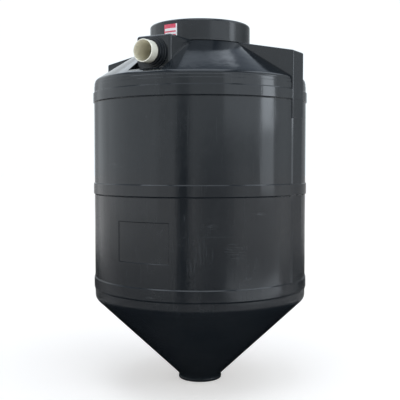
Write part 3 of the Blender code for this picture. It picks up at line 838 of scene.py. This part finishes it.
class DIGESTER_OT_fittings(Operator):
    """Model the inlet and outlet: pipe, boss and seal outside, bend and drop pipe inside"""
    bl_idname = "digester.fittings"
    bl_label = "Pipe Fittings"

    def execute(self, context):
        pipes = context.scene.digester_pipes
        finish = context.scene.digester_finish
        outside = extruded_pvc("extruded PVC pipe", finish.pvc, finish.pipe_roughness)
        # The bore's yellowed PVC is painted lighter than the outside, against the shade inside the pipe
        bore = extruded_pvc("yellowed PVC bore", finish.pvc_bore_yellowed_and_painted_light, finish.bore_roughness)
        sawn = extruded_pvc("sawn PVC end", finish.pvc_sawn, finish.sawn_roughness)
        rubber = moulded_rubber("moulded EPDM rubber", finish.rubber)
        plastic = moulded_polyethylene("moulded polyethylene boss", finish, finish.boss_roughness)
        for name, azimuth, wall in PIPES:
            self.pipe(pipes, name, azimuth, wall, [outside, bore, sawn])
            self.bend(pipes, name, azimuth, wall, [outside])
            self.drop(pipes, name, wall, [outside])
            self.boss(name, azimuth, [plastic])
            self.seal(pipes, name, azimuth, [rubber])
        return {"FINISHED"}

    def pipe(self, pipes, name, azimuth, wall, materials):
        """Straight pipe with a chamfered, sawn mouth."""
        radius, height = pipe_sizes(name)
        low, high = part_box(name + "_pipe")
        start, end = sorted((abs(low.y), abs(high.y)))
        length = end - start
        bore = radius - wall
        chamfer = pipes.mouth_chamfer
        eased = 0.0005
        points = [(radius, 0), (radius, length - chamfer), (radius - chamfer, length),
                  (bore + eased, length), (bore, length - eased), (bore, 0), (radius, 0)]
        item = ring_up(name + "_pipe_end", subdivided(points, 0.02), pipes.sides)
        place(item, lying(azimuth, start, height))
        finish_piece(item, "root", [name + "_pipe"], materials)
        for face in item.data.polygons:
            centre = face.center
            if abs(centre.y) > end - chamfer:
                face.material_index = 2
            elif hypot(centre.x, centre.z - height) < radius - wall / 2:
                # Faces in the bore take the yellowed PVC with painted light
                face.material_index = 1

    def bend(self, pipes, name, azimuth, wall, materials):
        """Swept bend from the pipe down to the drop pipe."""
        radius, height = pipe_sizes(name)
        deselect_all()
        bpy.ops.mesh.primitive_circle_add(vertices=pipes.sides, radius=radius, rotation=(pi / 2, 0, 0))
        item = name_piece(name + "_swept_bend")
        bpy.ops.object.transform_apply(rotation=True)
        bpy.ops.object.mode_set(mode="EDIT")
        bpy.ops.mesh.select_all(action="SELECT")
        bpy.ops.mesh.spin(steps=20, angle=pi / 2, center=(0, 0, -BEND_R), axis=(1, 0, 0))
        tidy_mesh()
        modify(item, "SOLIDIFY", thickness=wall, offset=-1.0)
        place(item, turned(azimuth) @ Matrix.Translation((0, SEAM - DROP_AT - BEND_R, height)))
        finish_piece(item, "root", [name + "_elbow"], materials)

    def drop(self, pipes, name, wall, materials):
        """Drop pipe inside the tank, cut square at its foot."""
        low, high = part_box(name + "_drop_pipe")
        radius = (high.x - low.x) / 2
        bore = radius - wall
        points = [(radius, low.z), (radius, high.z), (bore, high.z), (bore, low.z), (radius, low.z)]
        item = ring_up(name + "_down_pipe", subdivided(points, 0.10), pipes.sides)
        place(item, Matrix.Translation((0, (low.y + high.y) / 2, 0)))
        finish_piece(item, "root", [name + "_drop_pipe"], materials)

    def boss(self, name, azimuth, materials):
        """Stepped boss round the pipe, with eased edges."""
        radius, height = pipe_sizes(name)
        hole = radius + SEAM
        foot = SEAM
        corners = [(hole, foot, 0)]
        for width, reach in BOSS_STEPS:
            corners += [(radius + width, foot, 0.0006), (radius + width, reach, 0.0015)]
            foot = reach
        corners += [(hole, foot, 0.0008), (hole, SEAM, 0)]
        item = ring_up(name + "_stepped_boss", soften(corners), 120)
        place(item, lying(azimuth, PIPE_BOX_FACE, height))
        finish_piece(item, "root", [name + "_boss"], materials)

    def seal(self, pipes, name, azimuth, materials):
        """Lip of the rubber seal at the mouth of the boss."""
        radius, height = pipe_sizes(name)
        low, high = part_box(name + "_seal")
        near, far = sorted((abs(low.y) - PIPE_BOX_FACE, abs(high.y) - PIPE_BOX_FACE))
        hole = radius + SEAM
        rim = (high.x - low.x) / 2
        lip = pipes.seal_lip
        corners = [(hole, near, 0), (rim, near, 0.0005), (rim, far, lip),
                   (hole, far - lip, 0), (hole, near, 0)]
        item = ring_up(name + "_seal_lip", soften(corners), 120)
        place(item, lying(azimuth, PIPE_BOX_FACE, height))
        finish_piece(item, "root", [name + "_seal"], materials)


class DIGESTER_OT_stage(Operator):
    """Set the pale floor, the soft studio light and the camera"""
    bl_idname = "digester.stage"
    bl_label = "Studio"

    def execute(self, context):
        stage = context.scene.digester_stage
        self.camera(context, stage)
        self.floor(stage)
        self.surroundings(context, stage)
        for light in SOFT_LIGHTS:
            self.soft_light(stage, *light)
        for card in DARK_CARDS:
            self.upright_card(stage, *card)
        for k, cloth in enumerate(GROUND_CLOTHS):
            self.ground_cloth(stage, 0.002 * (k + 1), *cloth)
        context.scene.view_settings.view_transform = "Standard"
        return {"FINISHED"}

    def station(self, stage, turn, distance, height):
        """Place round the tank, its azimuth counted in degrees from the camera's."""
        azimuth = stage.azimuth + radians(turn)
        return Vector((sin(azimuth) * distance, -cos(azimuth) * distance, height))

    def camera(self, context, stage):
        bpy.ops.object.camera_add(location=self.station(stage, 0, stage.distance, stage.height),
                                  rotation=(pi / 2 - stage.tilt, 0, stage.azimuth))
        camera = name_piece("camera")
        frame_width = 400
        camera.data.sensor_fit = "HORIZONTAL"
        camera.data.lens = stage.focal_pixels / frame_width * camera.data.sensor_width
        context.scene.camera = camera

    def floor(self, stage):
        """Pale floor that glows with painted light, weaker near the tank, and brightens into the white
        surroundings a few metres out.
        """
        deselect_all()
        bpy.ops.mesh.primitive_circle_add(vertices=128, radius=60, fill_type="TRIFAN")
        item = name_piece("floor")
        material, tree, shader, coords = new_material("matt pale floor")
        speckle = add_node(tree, "TexNoise", {"Vector": coords, "Scale": per_metre(30), "Detail": 4.0})
        tone = add_node(tree, "Mix", {
            0: speckle, 6: (*stage.floor_specks, 1.0), 7: (*stage.floor_pale, 1.0)}, data_type="RGBA")
        away = add_node(tree, "VectorMath", {0: coords}, operation="LENGTH").outputs["Value"]
        # Painted glow: the floor emits light, weaker near the tank and stronger a few metres out
        glow = add_node(tree, "MapRange", {
            "Value": away, "From Min": 0.6, "From Max": 5.0, "To Min": 0.37, "To Max": 0.54},
            interpolation_type="SMOOTHSTEP")
        wire(tree, shader, {
            "Base Color": tone.outputs[2], "Roughness": 0.9,
            "Emission Color": (*stage.floor_painted_glow, 1.0), "Emission Strength": glow})
        item.data.materials.append(material)

    def surroundings(self, context, stage):
        """Cool white all round, bluer and dimmer overhead."""
        world = bpy.data.worlds.new("white surroundings")
        context.scene.world = world
        world.use_nodes = True
        tree = world.node_tree
        direction = add_node(tree, "TexCoord").outputs["Generated"]
        upward = add_node(tree, "SeparateXYZ", {0: direction}).outputs["Z"]
        steep = add_node(tree, "MapRange", {
            "Value": upward, "From Min": 0.45, "From Max": 0.75}, interpolation_type="SMOOTHSTEP")
        colour = add_node(tree, "Mix", {
            0: steep, 6: (*stage.sky, 1.0), 7: (*stage.zenith, 1.0)}, data_type="RGBA")
        strength = add_node(tree, "MapRange", {
            "Value": steep, "To Min": stage.daylight, "To Max": 0.36 * stage.daylight})
        wire(tree, tree.nodes["Background"], {"Color": colour.outputs[2], "Strength": strength})

    def soft_light(self, stage, name, turn, distance, height, width, length, radiance,
                   roll=0, aim_height=1.5):
        """Area light turned to the tank's axis, an ellipse where it is rolled."""
        station = self.station(stage, turn, distance, height)
        facing = station - Vector((0, 0, aim_height))
        rolled = Matrix.Rotation(radians(roll), 3, "Z")
        bpy.ops.object.light_add(type="AREA", location=station)
        light = name_piece(name)
        light.rotation_euler = (facing.to_track_quat("Z", "Y").to_matrix() @ rolled).to_euler()
        light.data.shape = "ELLIPSE" if roll else "RECTANGLE"
        light.data.size = width
        light.data.size_y = length
        light.data.energy = radiance * pi * width * length
        light.data.color = stage.lamps
        light.visible_camera = False

    def felt(self, name, darkness, mask):
        """Hides a card from the camera and gives it black felt that fades out at its edges."""
        item = name_piece(name)
        material, tree, shader, coords = new_material(name + " felt")
        alpha = add_node(tree, "Math", {0: mask(tree, coords), 1: darkness}, operation="MULTIPLY")
        wire(tree, shader, {
            "Base Color": (0, 0, 0, 1), "Specular IOR Level": 0.0, "Roughness": 1.0, "Alpha": alpha})
        item.data.materials.append(material)
        item.visible_camera = False
        item.visible_diffuse = False
        item.visible_shadow = False

    def upright_card(self, stage, name, turn, distance, width, height, darkness):
        """Upright dark card, which draws a soft dark streak down the wall."""
        station = self.station(stage, turn, distance, height / 2)
        deselect_all()
        bpy.ops.mesh.primitive_plane_add(size=2, location=station)
        item = bpy.context.object
        item.rotation_euler = Vector((station.x, station.y, 0)).to_track_quat("Z", "Y").to_euler()
        item.scale = (width / 2, height / 2, 1)

        def mask(tree, coords):
            split = add_node(tree, "SeparateXYZ", {0: coords})
            aside = add_node(tree, "Math", {0: split}, operation="ABSOLUTE")
            across, up = (
                add_node(tree, "MapRange", {"Value": reach, "From Min": full, "To Min": 1.0, "To Max": 0.0},
                         interpolation_type="SMOOTHSTEP")
                for reach, full in ((aside, 0.15), (split.outputs["Y"], 0.1)))
            return add_node(tree, "Math", {0: across, 1: up}, operation="MULTIPLY")

        self.felt(name, darkness, mask)

    def ground_cloth(self, stage, lift, name, turn, distance, full, gone, darkness):
        """Dark cloth on the floor, which keeps the cone as dark as outdoor ground does."""
        deselect_all()
        bpy.ops.mesh.primitive_circle_add(vertices=96, radius=gone + 1, fill_type="TRIFAN",
                                          location=self.station(stage, turn, distance, lift))

        def mask(tree, coords):
            away = add_node(tree, "VectorMath", {0: coords}, operation="LENGTH").outputs["Value"]
            return add_node(tree, "MapRange", {
                "Value": away, "From Min": full, "From Max": gone, "To Min": 1.0, "To Max": 0.0},
                interpolation_type="SMOOTHSTEP")

        self.felt(name, darkness, mask)


class DIGESTER_PT_panel(Panel):
    bl_label = "Biogas Digester"
    bl_idname = "DIGESTER_PT_panel"
    bl_space_type = "VIEW_3D"
    bl_region_type = "UI"
    bl_category = "Digester"

    def draw(self, context):
        for operator, group in STEPS:
            column = self.layout.column(align=True)
            column.operator(operator.bl_idname)
            settings = getattr(context.scene, group)
            for name in settings.bl_rna.properties.keys():
                if name not in ("rna_type", "name"):
                    column.prop(settings, name)


GROUPS = {
    "digester_stage": DigesterStage,
    "digester_finish": DigesterFinish,
    "digester_tank": DigesterTank,
    "digester_lid": DigesterLid,
    "digester_pipes": DigesterPipes,
}
STEPS = (
    (DIGESTER_OT_stage, "digester_stage"),
    (DIGESTER_OT_tank, "digester_tank"),
    (DIGESTER_OT_lid, "digester_lid"),
    (DIGESTER_OT_sticker, "digester_finish"),
    (DIGESTER_OT_fittings, "digester_pipes"),
)
CLASSES = (*GROUPS.values(), *(operator for operator, _ in STEPS), DIGESTER_PT_panel)


def register():
    for item in CLASSES:
        bpy.utils.register_class(item)
    for name, group in GROUPS.items():
        setattr(Scene, name, PointerProperty(type=group))


def unregister():
    for name in GROUPS:
        delattr(Scene, name)
    for item in reversed(CLASSES):
        bpy.utils.unregister_class(item)


def main():
    register()
    bpy.ops.digester.stage()
    bpy.ops.digester.tank()
    bpy.ops.digester.lid()
    bpy.ops.digester.sticker()
    bpy.ops.digester.fittings()


if __name__ == "__main__":
    main()
